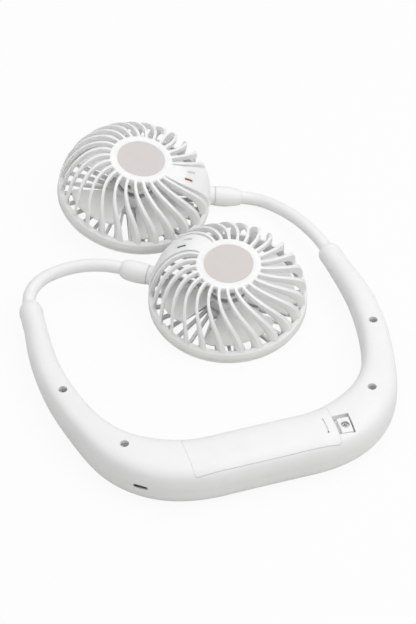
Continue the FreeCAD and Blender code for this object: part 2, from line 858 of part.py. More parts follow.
def rib_lean_deg():
    """Angle between a rib and the radius at the indicator slots."""
    share = lens_place_share ** (rib_curve_power - 1)
    turn_rate = math.radians(rib_sweep_deg) * rib_curve_power * share / (rim_radius - hub_radius)
    return math.degrees(math.atan(lens_radius * turn_rate))


def lens_prism(angle_deg, gap):
    """Upright prism over one indicator slot, along the ribs and shrunk by a gap."""
    half_length, half_width = lens_length / 2 - gap, lens_width / 2 - gap
    prism = block(V(-half_length, -half_width, rim_top), V(half_length, half_width, hub_height + overrun))
    prism = prism.rotated(V(0, 0, 0), UP, rib_lean_deg()).translated(V(lens_radius, 0, 0))
    return prism.rotated(V(0, 0, 0), UP, angle_deg)


def rear_cage():
    """Domed rear cage: hub disc, swept ribs, wire channel, rim ring and neck stub."""
    hub = Part.makeCylinder(hub_radius, hub_thickness, V(0, 0, hub_height - hub_thickness))
    upper = hub_height - label_thickness
    hub = hub.makeFillet(hub_round, [edge for edge in hub.Edges if edge.BoundBox.ZMin > upper])
    chamfer = rim_wall / 2
    inside = rim_radius - rim_wall
    ring = turned([(rim_radius, rim_split), (rim_radius, rim_top - chamfer), (rim_radius - chamfer, rim_top),
                   (inside, rim_top), (inside, rim_split)])
    rib = swept_prism(rib_line(0, -rib_thickness / 2), rib_line(0, rib_thickness / 2))
    rib = rib.common(dome_band(0, rib_depth))
    pitch = 360 / rib_count
    ribs = []
    for index in range(rib_count - channel_ribs):
        angle = pitch * (index + (channel_ribs + 1) / 2) - channel_lead_deg
        ribs.append(rib.rotated(V(0, 0, 0), UP, angle))
    first, last = -channel_lead_deg - channel_half_deg, -channel_lead_deg + channel_half_deg
    half = rib_thickness / 2
    channel = swept_prism(rib_line(first, -half), rib_line(last, half)).common(dome_band(0, channel_depth))
    hollow = swept_prism(rib_line(first, half), rib_line(last, -half))
    channel = channel.cut(hollow.common(dome_band(channel_wall, channel_depth + overrun)))
    root = V(rim_radius - chamfer, 0, stub_height)
    stub = Part.makeCylinder(stub_radius, stub_reach + chamfer, root, V(1, 0, 0))
    stub = stub.cut(Part.makeCylinder(rim_radius + seat_gap, rim_split + seat_gap))
    pin_length = spigot_length + stub_reach + chamfer - seat_gap
    spigot = Part.makeCylinder(spigot_radius, pin_length, root, V(1, 0, 0))
    cage = hub.fuse([ring, channel, stub, spigot] + ribs).removeSplitter()
    cage = cage.cut(Part.makeCylinder(label_radius + label_gap, overrun, V(0, 0, upper)))
    for angle in lens_angles_deg:
        cage = cage.cut(lens_prism(angle, 0))
    return cage


def hub_label():
    """Thin disc set into the hub."""
    return Part.makeCylinder(label_radius, label_thickness, V(0, 0, hub_height - label_thickness))


def indicator_lens(index):
    """Light guide in one slot of the wire channel."""
    wall_band = dome_band(lens_sink, channel_wall + lens_drop)
    return lens_prism(lens_angles_deg[index], lens_gap).common(wall_band)


def turned_dome(skin):
    """Solid under the dome profile, set in by a skin."""
    first, middle, last = dome_arc(skin)
    edge = Part.Arc(first, middle, last).toShape()
    rest = Part.makePolygon([last, V(last.x, 0, 0), V(0, 0, 0), V(0, 0, first.z), first])
    face = Part.Face(Part.Wire(Part.__sortEdges__([edge] + rest.Edges)))
    return face.revolve(V(0, 0, 0), UP, 360)


def light_board():
    """Board with the indicator lights, tilted along the underside of the wire channel."""
    board = block(V(-light_board_length / 2, -light_board_width / 2, -board_thickness),
                  V(light_board_length / 2, light_board_width / 2, 0))
    height, fall_deg = dome_slope(lens_radius, channel_wall + light_board_gap)
    middle_deg = rib_sweep_deg * lens_place_share ** rib_curve_power - channel_lead_deg
    board = board.rotated(V(0, 0, 0), UP, rib_lean_deg()).rotated(V(0, 0, 0), V(0, 1, 0), fall_deg)
    return board.translated(V(lens_radius, 0, height)).rotated(V(0, 0, 0), UP, middle_deg)


def front_grille():
    """Front guard: rim ring, centre cap and leaning bars."""
    inner = rim_radius - rim_wall
    ring = Part.makeCylinder(rim_radius, rim_split)
    ring = ring.makeFillet(rim_round, [edge for edge in ring.Edges if edge.BoundBox.ZMax < grille_sink])
    ring = ring.cut(Part.makeCylinder(inner, rim_split + overrun, V(0, 0, -overrun / 2)))
    thick = rim_split - grille_sink
    cap = Part.makeCylinder(grille_cap_radius, thick, V(0, 0, grille_sink))
    half = grille_bar_width / 2
    lean = math.radians(grille_bar_lean_deg)
    low, high = grille_cap_radius - grille_bar_width, inner + rim_wall / 2
    start = V(low, 0, 0)
    end = V(high * math.cos(lean), high * math.sin(lean), 0)
    run = end - start
    bar = block(V(0, -half, grille_sink), V(run.Length, half, rim_split))
    bar = bar.rotated(V(0, 0, 0), UP, math.degrees(math.atan2(run.y, run.x))).translated(start)
    bars = [bar.rotated(V(0, 0, 0), UP, 360 * index / grille_bar_count) for index in range(grille_bar_count)]
    return ring.fuse([cap] + bars).removeSplitter()


def motor_holder():
    """Slotted cup under the hub that holds the motor."""
    top = hub_height - hub_thickness
    low = top - holder_depth
    inside = motor_radius + motor_fit_gap
    cup = Part.makeCylinder(inside + holder_wall, holder_depth, V(0, 0, low))
    cup = cup.cut(Part.makeCylinder(inside, holder_depth + overrun, V(0, 0, low - overrun / 2)))
    slot_low = low + holder_wall
    slot = block(V(0, -holder_slot_width / 2, slot_low),
                 V(inside + 2 * holder_wall, holder_slot_width / 2, slot_low + holder_slot_height))
    for index in range(holder_slot_count):
        cup = cup.cut(slot.rotated(V(0, 0, 0), UP, 360 * index / holder_slot_count))
    return cup


def motor():
    """Small can motor with a bore for its shaft."""
    top = hub_height - hub_thickness
    low = top - motor_length
    can = Part.makeCylinder(motor_radius, motor_length, V(0, 0, low))
    return can.cut(Part.makeCylinder(shaft_radius + running_gap, motor_length - holder_wall, V(0, 0, low)))


def motor_shaft():
    """Steel shaft from the motor into the impeller hub."""
    high = hub_height - hub_thickness - holder_wall - seat_gap
    return Part.makeCylinder(shaft_radius, high - impeller_low, V(0, 0, impeller_low))


def blade_section(radius, chord, pitch_deg):
    """Thin slanted section wire of a blade at a radius, resting on the wheel's lower face."""
    pitch = math.radians(pitch_deg)
    along = V(0, -math.cos(pitch), math.sin(pitch))
    across = V(0, math.sin(pitch), math.cos(pitch))
    rise = (chord * math.sin(pitch) + blade_thickness * math.cos(pitch)) / 2
    middle = V(radius, 0, impeller_low + rise)
    corners = [middle + along * (side * chord / 2) + across * (face * blade_thickness / 2)
               for side, face in ((-1, -1), (1, -1), (1, 1), (-1, 1))]
    return Part.makePolygon(corners + corners[:1])


def fan_blade():
    """One broad pitched blade, kept clear of the dome and of the motor holder."""
    root_radius = impeller_hub_radius - impeller_hub_wall / 2
    blade = Part.makeLoft([blade_section(root_radius - blade_thickness, blade_root_chord,
                                         blade_root_pitch_deg),
                           blade_section(impeller_radius, blade_tip_chord, blade_tip_pitch_deg)], True, True)
    blade = blade.common(turned_dome(channel_depth + impeller_gap))
    blade = blade.cut(Part.makeCylinder(root_radius, hub_height))
    holder_radius = motor_radius + motor_fit_gap + holder_wall
    return blade.cut(Part.makeCylinder(holder_radius + impeller_gap, hub_height, V(0, 0, impeller_high)))


def impeller():
    """Fan wheel: a cup hub with pitched blades and a bored boss on the shaft."""
    height = impeller_high - impeller_low
    base = V(0, 0, impeller_low)
    hub = Part.makeCylinder(impeller_hub_radius, height, base)
    low_edge = impeller_low + hub_round
    hub = hub.makeFillet(hub_round, [edge for edge in hub.Edges if edge.BoundBox.ZMax < low_edge])
    floor = V(0, 0, impeller_low + impeller_hub_wall)
    well = Part.makeCylinder(impeller_hub_radius - impeller_hub_wall, height, floor)
    boss = Part.makeCylinder(shaft_radius + impeller_hub_wall, height, base)
    blade = fan_blade()
    blades = [blade.rotated(V(0, 0, 0), UP, blade_phase_deg + 360 * index / blade_count)
              for index in range(blade_count)]
    wheel = hub.cut(well).fuse([boss] + blades).removeSplitter()
    return wheel.cut(Part.makeCylinder(shaft_radius, hub_height))


def export(name, shape):
    """Write one node."""
    shape.exportStep("parts/" + name + ".step")


def report_joint(name, point, axis):
    """Print a joint's place and axis in metres for the record."""
    place = [round(value / mm_per_metre, 6) for value in (point.x, point.y, point.z)]
    print("joint", name, place, [round(value, 6) for value in (axis.x, axis.y, axis.z)])


def build_band():
    """Neckband shells, door, battery and boards."""
    outer = band_solid(0)
    inner = band_solid(wall)
    cavity = band_solid(wall + seat_gap)
    export("rear_shell", rear_shell(outer, inner))
    export("front_shell", front_shell(outer, inner))
    export("shell_screws", shell_screws())
    export("battery_door", battery_door(outer, inner))
    export("door_screw", door_screw())
    export("battery_cell", battery_cell())
    export("positive_contact", contact(1))
    export("negative_contact", contact(-1))
    export("control_board", control_board())
    export("usb_socket", usb_socket())
    export("power_button", power_button())
    export("tact_switch", tact_switch())
    export("switch_board", switch_board(cavity))
    report_joint("door_hinge", V(door_hinge_end, 0, band_top), V(0, -1, 0))
    report_joint("button_press", button_frame().Base, axis_of(button_frame(), V(0, 0, -1)))


def build_neck(side):
    """Collar, anchor, gooseneck links and sleeves of one side."""
    route = neck_route(side)
    cores, sleeves = neck_segments(side)
    export(side + "_collar", arm_collar(side))
    export(side + "_neck_anchor", neck_anchor(side))
    for index, (core, sleeve) in enumerate(zip(cores, sleeves)):
        export(side + "_neck_core_" + str(index), core)
        export(side + "_neck_sleeve_" + str(index), sleeve)
    for piece in route[1:3]:
        print(side, "neck arc radius", round(piece["radius"], 1), "length", round(piece["length"], 1))
    points = [route_place(route, run) for run in neck_hinges(route)]
    report_joint(side + "_bend_a", points[0][0], UP)
    report_joint(side + "_lift", points[1][0], points[1][1].cross(UP).normalize())
    report_joint(side + "_bend_b", points[2][0], UP)


def build_heads():
    """Both fan heads, made once and placed on each neck."""
    pieces = {"boot": head_boot(), "rear_cage": rear_cage(), "front_grille": front_grille(),
              "hub_label": hub_label(), "indicator_lens_a": indicator_lens(0),
              "indicator_lens_b": indicator_lens(1), "light_board": light_board(),
              "motor_holder": motor_holder(), "motor": motor(), "motor_shaft": motor_shaft(),
              "impeller": impeller()}
    for side in SIDES:
        frame = head_frame(side)
        for name, shape in pieces.items():
            export(side + "_" + name, put(shape, frame))
        stub = frame.multVec(V(rim_radius, 0, stub_height))
        report_joint(side + "_head_twist", stub, axis_of(frame, V(-1, 0, 0)))
        report_joint(side + "_fan_spin", frame.multVec(V(0, 0, impeller_low)), axis_of(frame, UP))


def main():
    """Build every node."""
    os.makedirs("parts", exist_ok=True)
    build_band()
    for side in SIDES:
        build_neck(side)
    build_heads()


main()
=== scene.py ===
"""Visual model of a neck-worn twin fan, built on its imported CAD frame.

Lengths are metres in the CAD frame: +Z up, +Y along the arms, origin under the middle of the band.
"""

import json
import logging
import math
from abc import ABC, abstractmethod
from dataclasses import dataclass, field
from enum import Enum
from typing import Sequence, Union

import bpy
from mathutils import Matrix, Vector


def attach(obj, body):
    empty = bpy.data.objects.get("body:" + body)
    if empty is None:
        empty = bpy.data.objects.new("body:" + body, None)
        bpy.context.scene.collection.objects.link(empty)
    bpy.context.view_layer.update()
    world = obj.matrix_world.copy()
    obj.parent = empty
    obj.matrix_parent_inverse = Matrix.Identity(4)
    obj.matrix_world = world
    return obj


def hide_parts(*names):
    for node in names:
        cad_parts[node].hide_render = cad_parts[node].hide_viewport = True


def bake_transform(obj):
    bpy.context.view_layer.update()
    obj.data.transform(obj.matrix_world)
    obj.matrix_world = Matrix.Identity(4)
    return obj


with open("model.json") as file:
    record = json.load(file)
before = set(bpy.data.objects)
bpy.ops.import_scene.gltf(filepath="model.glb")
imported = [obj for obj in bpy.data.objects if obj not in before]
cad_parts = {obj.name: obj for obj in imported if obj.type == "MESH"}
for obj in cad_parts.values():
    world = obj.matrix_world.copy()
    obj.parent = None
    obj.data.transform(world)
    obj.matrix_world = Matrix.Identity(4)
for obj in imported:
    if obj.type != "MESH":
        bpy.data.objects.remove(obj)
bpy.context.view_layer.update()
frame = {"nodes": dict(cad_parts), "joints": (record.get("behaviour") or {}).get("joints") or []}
LOG = logging.getLogger("neck_fan")
MM = 0.001
TURN = 2 * math.pi
SHARP_ANGLE = math.radians(40.0)
NOISE_MEAN = 0.5
NECK_LENGTHS = 4
WHITE_LIGHT = (1, 1, 1, 1)
UP = (0.0, 0.0, 1.0)
Colour = tuple[float, float, float]
Triple = tuple[float, float, float]
Pair = tuple[float, float]
Faces = list[tuple[int, ...]]
Settings = dict[str, object]
Inputs = dict[int | str, object]


class Side(Enum):
    """The arm that a neck and its fan head hang on."""

    LEFT = "left"
    RIGHT = "right"

    def mirrored(self, place: Triple) -> Vector:
        """Bring a place or direction on the right arm to this side."""
        return Vector(place) * Vector((-1.0 if self is Side.LEFT else 1.0, 1.0, 1.0))


class Sock:
    """A shader socket that can stand in Python sums."""

    def __init__(self, shader: "Shader", socket: bpy.types.NodeSocket) -> None:
        """Keep a socket with the shader that it belongs to."""
        self.shader = shader
        self.socket = socket

    def _sum(self, operation: str, first: "Number", second: "Number") -> "Sock":
        """Add a Math node.

        Args:
            operation: The node's operation.
            first: Its first value.
            second: Its second value.

        Returns:
            The node's result.
        """
        return self.shader.out("ShaderNodeMath", {"operation": operation}, {0: first, 1: second})

    def __add__(self, other: "Number") -> "Sock":
        """Sum."""
        return self._sum("ADD", self, other)

    def __radd__(self, other: "Number") -> "Sock":
        """Sum, with the number first."""
        return self._sum("ADD", other, self)

    def __sub__(self, other: "Number") -> "Sock":
        """Difference."""
        return self._sum("SUBTRACT", self, other)

    def __rsub__(self, other: "Number") -> "Sock":
        """Difference, with the number first."""
        return self._sum("SUBTRACT", other, self)

    def __mul__(self, other: "Number") -> "Sock":
        """Product."""
        return self._sum("MULTIPLY", self, other)

    def __rmul__(self, other: "Number") -> "Sock":
        """Product, with the number first."""
        return self._sum("MULTIPLY", other, self)


Number = Union[float, Sock]


class Shader:
    """The node tree of one material or of the world."""

    MIX_FACTOR, MIX_FIRST, MIX_SECOND, MIX_RESULT = 0, 6, 7, 2

    def __init__(self, owner: bpy.types.ID) -> None:
        """Empty the owner's node tree.

        Args:
            owner: A material or a world.
        """
        owner.use_nodes = True
        self.tree = owner.node_tree
        self.tree.nodes.clear()

    def node(self, kind: str, settings: Settings | None = None,
             inputs: Inputs | None = None) -> bpy.types.Node:
        """Add any node.

        Args:
            kind: The node's type.
            settings: Attributes that are set first.
            inputs: Values or sockets by input name or number.

        Returns:
            The new node.
        """
        made = self.tree.nodes.new(kind)
        for key, value in (settings or {}).items():
            setattr(made, key, value)
        for key, value in (inputs or {}).items():
            if isinstance(value, Sock):
                self.tree.links.new(value.socket, made.inputs[key])
            else:
                made.inputs[key].default_value = value
        return made

    def out(self, kind: str, settings: Settings | None = None, inputs: Inputs | None = None,
            name: int | str = 0) -> Sock:
        """Add a node and take one of its results.

        Args:
            kind: The node's type.
            settings: Attributes that are set first.
            inputs: Values or sockets by input name or number.
            name: The output's name or number.

        Returns:
            The output.
        """
        return Sock(self, self.node(kind, settings, inputs).outputs[name])

    def place(self) -> Sock:
        """Object coordinates, which are the CAD frame's metres at rest."""
        return self.out("ShaderNodeTexCoord", name="Object")

    def noise(self, place: Sock, size: float, detail: float) -> Sock:
        """Soft noise with features of a given size.

        Args:
            place: Coordinates.
            size: Feature size in metres.
            detail: Octaves.

        Returns:
            The noise, about 0 to 1.
        """
        inputs = {"Vector": place, "Scale": 1 / size, "Detail": detail}
        return self.out("ShaderNodeTexNoise", None, inputs, "Fac")

    def step(self, value: Sock, low: float, high: float) -> Sock:
        """Ease a value from 0 to 1.

        Args:
            value: The value.
            low: Where the result is 0.
            high: Where the result is 1.

        Returns:
            The eased value.
        """
        settings = {"interpolation_type": "SMOOTHSTEP"}
        inputs = {"Value": value, "From Min": low, "From Max": high}
        return self.out("ShaderNodeMapRange", settings, inputs, "Result")

    def mix(self, first: Colour, second: Colour, factor: Number) -> Sock:
        """Mix two colours.

        Args:
            first: Colour at factor 0.
            second: Colour at factor 1.
            factor: Share of the second colour.

        Returns:
            The mixed colour.
        """
        inputs = {self.MIX_FACTOR: factor, self.MIX_FIRST: (*first, 1.0),
                  self.MIX_SECOND: (*second, 1.0)}
        return self.out("ShaderNodeMix", {"data_type": "RGBA"}, inputs, self.MIX_RESULT)

    def bump(self, height: Sock, depth: float) -> Sock:
        """Surface normal from a height.

        Args:
            height: Height from 0 to 1.
            depth: Height of 1 in metres.

        Returns:
            The normal.
        """
        inputs = {"Height": height, "Distance": depth, "Strength": 1.0}
        return self.out("ShaderNodeBump", None, inputs, "Normal")

    def surface(self, inputs: Inputs) -> None:
        """End the tree in a principled surface."""
        made = self.out("ShaderNodeBsdfPrincipled", None, inputs, "BSDF")
        self.node("ShaderNodeOutputMaterial", None, {"Surface": made})


@dataclass(frozen=True)
class Finish(ABC):
    """A surface finish that makes one material."""

    name: str

    @abstractmethod
    def sockets(self, shader: Shader, place: Sock) -> Inputs:
        """Give the surface's values.

        Args:
            shader: The material's shader.
            place: Coordinates in the CAD frame.

        Returns:
            Values and sockets by the surface's input names.
        """

    def material(self) -> bpy.types.Material:
        """Make the material.

        Returns:
            The finished material.
        """
        made = bpy.data.materials.new(self.name)
        shader = Shader(made)
        shader.surface(self.sockets(shader, shader.place()))
        return made


@dataclass(frozen=True)
class MouldedPlastic(Finish):
    """Satin moulded plastic: fine mould texture, faint flow mottling and slightly uneven gloss."""

    colour: Colour
    shade: Colour
    roughness: float = 0.40
    grain_size: float = 0.35 * MM
    grain_depth: float = 0.012 * MM
    grain_detail: float = 2.0
    grain_gloss: float = 0.10
    mottle_size: float = 14 * MM
    mottle_detail: float = 3.0
    mottle_gloss: float = 0.12
    mottle_range: Pair = (0.35, 0.75)
    refraction: float = 1.49
    glow: float = 0.0
    glow_depth: float = 4.0 * MM
    glow_spread: Triple = (1.0, 1.0, 1.0)

    def sockets(self, shader: Shader, place: Sock) -> Inputs:
        """Give the values of satin plastic.

        Args:
            shader: The material's shader.
            place: Coordinates in the CAD frame.

        Returns:
            Values and sockets by the surface's input names.
        """
        grain = shader.noise(place, self.grain_size, self.grain_detail)
        mottle = shader.noise(place, self.mottle_size, self.mottle_detail)
        rough = (self.roughness + (grain - NOISE_MEAN) * self.grain_gloss
                 + (mottle - NOISE_MEAN) * self.mottle_gloss)
        return {
            "Base Color": shader.mix(self.colour, self.shade,
                                     shader.step(mottle, *self.mottle_range)),
            "Roughness": rough,
            "IOR": self.refraction,
            "Subsurface Weight": self.glow,
            "Subsurface Scale": self.glow_depth,
            "Subsurface Radius": self.glow_spread,
            "Normal": shader.bump(grain, self.grain_depth),
        }


@dataclass(frozen=True)
class Silicone(Finish):
    """Soft white silicone: smooth skin with a broad sheen, fine dust and faint waviness."""

    colour: Colour
    dust: Colour
    roughness: float = 0.36
    speck_size: float = 0.5 * MM
    speck_detail: float = 4.0
    speck_range: Pair = (0.62, 0.74)
    speck_share: float = 0.25
    speck_gloss: float = 0.12
    cloud_size: float = 9 * MM
    cloud_detail: float = 3.0
    cloud_share: float = 0.25
    cloud_gloss: float = 0.16
    wave_size: float = 1.6 * MM
    wave_detail: float = 2.0
    wave_depth: float = 0.02 * MM
    refraction: float = 1.43
    sheen: float = 0.08

    def sockets(self, shader: Shader, place: Sock) -> Inputs:
        """Give the values of soft silicone.

        Args:
            shader: The material's shader.
            place: Coordinates in the CAD frame.

        Returns:
            Values and sockets by the surface's input names.
        """
        specks = shader.step(shader.noise(place, self.speck_size, self.speck_detail),
                             *self.speck_range)
        cloud = shader.noise(place, self.cloud_size, self.cloud_detail)
        wave = shader.noise(place, self.wave_size, self.wave_detail)
        return {
            "Base Color": shader.mix(self.colour, self.dust,
                                     specks * self.speck_share + cloud * self.cloud_share),
            "Roughness": (self.roughness + (cloud - NOISE_MEAN) * self.cloud_gloss
                          + specks * self.speck_gloss),
            "IOR": self.refraction,
            "Sheen Weight": self.sheen,
            "Normal": shader.bump(wave, self.wave_depth),
        }


@dataclass(frozen=True)
class PlatedSteel(Finish):
    """Plated steel: fine turning marks, dull spots and a soft gleam."""

    colour: Colour
    shade: Colour
    roughness: float = 0.30
    scratch_size: float = 0.12 * MM
    scratch_detail: float = 3.0
    scratch_gloss: float = 0.2
    scratch_depth: float = 0.006 * MM
    stain_size: float = 1.2 * MM
    stain_detail: float = 4.0
    stain_gloss: float = 0.2
    stain_range: Pair = (0.4, 0.75)

    def sockets(self, shader: Shader, place: Sock) -> Inputs:
        """Give the values of plated steel.

        Args:
            shader: The material's shader.
            place: Coordinates in the CAD frame.

        Returns:
            Values and sockets by the surface's input names.
        """
        scratch = shader.noise(place, self.scratch_size, self.scratch_detail)
        stain = shader.noise(place, self.stain_size, self.stain_detail)
        return {
            "Base Color": shader.mix(self.colour, self.shade,
                                     shader.step(stain, *self.stain_range)),
            "Roughness": (self.roughness + (scratch - NOISE_MEAN) * self.scratch_gloss
                          + (stain - NOISE_MEAN) * self.stain_gloss),
            "Metallic": 1.0,
            "Normal": shader.bump(scratch, self.scratch_depth),
        }


@dataclass(frozen=True)
class PrintedFilm(Finish):
    """Plain printed film: a smooth sheet with fine print grain and a little unevenness."""

    colour: Colour
    shade: Colour
    roughness: float = 0.45
    dot_size: float = 0.18 * MM
    dot_detail: float = 2.0
    dot_share: float = 0.35
    dot_depth: float = 0.004 * MM
    cloud_size: float = 6 * MM
    cloud_detail: float = 3.0
    cloud_share: float = 0.4
    cloud_gloss: float = 0.15

    def sockets(self, shader: Shader, place: Sock) -> Inputs:
        """Give the values of printed film.

        Args:
            shader: The material's shader.
            place: Coordinates in the CAD frame.

        Returns:
            Values and sockets by the surface's input names.
        """
        dots = shader.noise(place, self.dot_size, self.dot_detail)
        cloud = shader.noise(place, self.cloud_size, self.cloud_detail)
        return {
            "Base Color": shader.mix(self.colour, self.shade,
                                     dots * self.dot_share + cloud * self.cloud_share),
            "Roughness": self.roughness + (cloud - NOISE_MEAN) * self.cloud_gloss,
            "Normal": shader.bump(dots, self.dot_depth),
        }


@dataclass(frozen=True)
class ClearLens(Finish):
    """Tinted light guide: glossy tinted plastic with a cloudy core."""

    colour: Colour
    core: Colour
    roughness: float = 0.12
    cloud_size: float = 1.5 * MM
    cloud_detail: float = 3.0
    cloud_gloss: float = 0.1
    cloud_depth: float = 0.01 * MM
    cloud_range: Pair = (0.3, 0.8)
    refraction: float = 1.5
    coat: float = 0.4

    def sockets(self, shader: Shader, place: Sock) -> Inputs:
        """Give the values of a light guide.

        Args:
            shader: The material's shader.
            place: Coordinates in the CAD frame.

        Returns:
            Values and sockets by the surface's input names.
        """
        cloud = shader.noise(place, self.cloud_size, self.cloud_detail)
        return {
            "Base Color": shader.mix(self.colour, self.core,
                                     shader.step(cloud, *self.cloud_range)),
            "Roughness": self.roughness + cloud * self.cloud_gloss,
            "IOR": self.refraction,
            "Coat Weight": self.coat,
            "Normal": shader.bump(cloud, self.cloud_depth),
        }


@dataclass(frozen=True)
class CircuitBoard(Finish):
    """Solder-masked board: green lacquer with lighter copper traces under it."""

    mask: Colour
    trace: Colour
    roughness: float = 0.3
    traces_per_metre: float = 700.0
    trace_range: Pair = (0.32, 0.38)
    trace_share: float = 0.6
    trace_depth: float = 0.02 * MM
    weave_size: float = 0.6 * MM
    weave_detail: float = 2.0
    weave_share: float = 0.15
    weave_gloss: float = 0.15

    def sockets(self, shader: Shader, place: Sock) -> Inputs:
        """Give the values of a lacquered board.

        Args:
            shader: The material's shader.
            place: Coordinates in the CAD frame.

        Returns:
            Values and sockets by the surface's input names.
        """
        cells = shader.out("ShaderNodeTexVoronoi", {"distance": "MANHATTAN"},
                           {"Vector": place, "Scale": self.traces_per_metre})
        traces = shader.step(cells, *self.trace_range)
        weave = shader.noise(place, self.weave_size, self.weave_detail)
        return {
            "Base Color": shader.mix(self.mask, self.trace,
                                     traces * self.trace_share + weave * self.weave_share),
            "Roughness": self.roughness + weave * self.weave_gloss,
            "Normal": shader.bump(traces, self.trace_depth),
        }


@dataclass(frozen=True)
class CellWrap(Finish):
    """Shrink wrap on a battery can: tinted film with long draw lines."""

    colour: Colour
    shade: Colour
    roughness: float = 0.25
    draw_scale: Triple = (0.06, 1.0, 1.0)
    line_size: float = 0.5 * MM
    line_detail: float = 3.0
    line_gloss: float = 0.15
    line_depth: float = 0.01 * MM
    coat: float = 0.2

    def sockets(self, shader: Shader, place: Sock) -> Inputs:
        """Give the values of shrink wrap.

        Args:
            shader: The material's shader.
            place: Coordinates in the CAD frame.

        Returns:
            Values and sockets by the surface's input names.
        """
        drawn = shader.out("ShaderNodeVectorMath", {"operation": "MULTIPLY"},
                           {0: place, 1: self.draw_scale}, "Vector")
        lines = shader.noise(drawn, self.line_size, self.line_detail)
        return {
            "Base Color": shader.mix(self.colour, self.shade, lines),
            "Roughness": self.roughness + lines * self.line_gloss,
            "Coat Weight": self.coat,
            "Normal": shader.bump(lines, self.line_depth),
        }


class Palette:
    """The object's finishes, each made once."""

    def __init__(self) -> None:
        """Make the materials."""
        self.shell = MouldedPlastic("band_plastic", colour=(0.866, 0.866, 0.872),
                                    shade=(0.845, 0.846, 0.850)).material()
        self.cage = MouldedPlastic("cage_plastic", colour=(0.932, 0.932, 0.932),
                                   shade=(0.916, 0.917, 0.914), roughness=0.36,
                                   grain_size=0.3 * MM, grain_depth=0.008 * MM,
                                   glow=0.5).material()
        self.soft = Silicone("white_silicone", colour=(0.866, 0.866, 0.872),
                             dust=(0.81, 0.81, 0.81)).material()
        self.wheel = MouldedPlastic("fan_wheel_plastic", colour=(0.92, 0.925, 0.91),
                                    shade=(0.90, 0.905, 0.89), glow=0.5).material()
        self.inner = MouldedPlastic("motor_holder_plastic", colour=(0.88, 0.885, 0.87),
                                    shade=(0.85, 0.855, 0.84)).material()
        self.label = PrintedFilm("hub_film", colour=(0.66, 0.62, 0.605),
                                 shade=(0.60, 0.565, 0.55)).material()
        self.steel = PlatedSteel("plated_steel", colour=(0.55, 0.55, 0.54),
                                 shade=(0.42, 0.42, 0.41)).material()
        self.teal = ClearLens("teal_lens", colour=(0.008, 0.085, 0.07),
                              core=(0.015, 0.13, 0.105)).material()
        self.red = ClearLens("red_lens", colour=(0.24, 0.008, 0.008),
                             core=(0.32, 0.02, 0.018)).material()
        self.clear = ClearLens("clear_lens", colour=(0.60, 0.62, 0.62),
                               core=(0.74, 0.76, 0.76)).material()
        self.board = CircuitBoard("board_lacquer", mask=(0.02, 0.11, 0.05),
                                  trace=(0.05, 0.22, 0.10)).material()
        self.dark = MouldedPlastic("switch_plastic", colour=(0.03, 0.03, 0.03),
                                   shade=(0.05, 0.05, 0.05)).material()
        self.cell = CellWrap("cell_wrap", colour=(0.10, 0.20, 0.38),
                             shade=(0.14, 0.26, 0.44)).material()


def dress(material: bpy.types.Material, *nodes: str) -> None:
    """Give CAD nodes a finish.

    Args:
        material: The finish.
        nodes: Names of the CAD nodes.
    """
    for name in nodes:
        mesh = frame["nodes"][name].data
        mesh.materials.clear()
        mesh.materials.append(material)
        LOG.info("dressed %s with %s", name, material.name)


def joint_line(name: str) -> tuple[Vector, Vector]:
    """Read the line that a joint turns about.

    Args:
        name: The joint's name.

    Returns:
        The joint's place and the direction of its axis.
    """
    found = next(joint for joint in frame["joints"] if joint["name"] == name)
    return Vector(found["pos_m"]), Vector(found["axis"]).normalized()


def soften(mesh: bpy.types.Mesh) -> None:
    """Shade a mesh smooth between its sharp edges."""
    mesh.shade_smooth()
    mesh.set_sharp_from_angle(angle=SHARP_ANGLE)


def make_piece(name: str, points: Sequence[Sequence[float]], faces: Sequence[Sequence[int]],
               material: bpy.types.Material) -> bpy.types.Object:
    """Make a mesh object with smooth shading between sharp edges.

    Args:
        name: Piece name.
        points: Vertices in the CAD frame.
        faces: Vertex numbers of each face.
        material: The finish.

    Returns:
        The new object, linked to the scene.
    """
    mesh = bpy.data.meshes.new(name)
    mesh.from_pydata([tuple(point) for point in points], [], [tuple(face) for face in faces])
    mesh.validate()
    soften(mesh)
    mesh.materials.append(material)
    made = bpy.data.objects.new(name, mesh)
    bpy.context.scene.collection.objects.link(made)
    return made


def ring_turns(ring: int) -> list[float]:
    """Angles of the points in a ring."""
    return [TURN * step / ring for step in range(ring)]


def ring_faces(rows: int, ring: int, closed: bool = True) -> Faces:
    """Quads between rings of points that follow each other.

    Args:
        rows: Number of rings.
        ring: Points in each ring.
        closed: Whether the last ring joins the first one.

    Returns:
        Vertex numbers of each quad.
    """
    faces = []
    for row in range(rows if closed else rows - 1):
        here, there = row * ring, (row + 1) % rows * ring
        for step in range(ring):
            after = (step + 1) % ring
            faces.append((here + step, here + after, there + after, there + step))
    return faces


def end_caps(rows: int, ring: int) -> Faces:
    """Faces that close the first and the last ring."""
    return [tuple(reversed(range(ring))), tuple(range((rows - 1) * ring, rows * ring))]


@dataclass(frozen=True)
class Arc:
    """Part of a circle that leaves its start along a tangent."""

    start: Vector
    tangent: Vector
    toward: Vector
    radius: float
    length: float

    @classmethod
    def through(cls, start: Vector, tangent: Vector, end: Vector) -> "Arc":
        """Find the arc between two points.

        Args:
            start: First point.
            tangent: Direction at the first point.
            end: Last point.

        Returns:
            The arc.
        """
        chord = end - start
        side = chord - tangent * chord.dot(tangent)
        radius = chord.dot(chord) / (2 * side.length)
        turn = 2 * math.atan2(side.length, chord.dot(tangent))
        return cls(start, tangent, side.normalized(), radius, radius * turn)

    def place(self, run: float) -> tuple[Vector, Vector]:
        """Point and tangent at a run from the start.

        Args:
            run: Length along the arc.

        Returns:
            The point and the tangent.
        """
        turn = run / self.radius
        sine, cosine = math.sin(turn), math.cos(turn)
        point = self.start + (self.tangent * sine + self.toward * (1 - cosine)) * self.radius
        return point, self.tangent * cosine + self.toward * sine


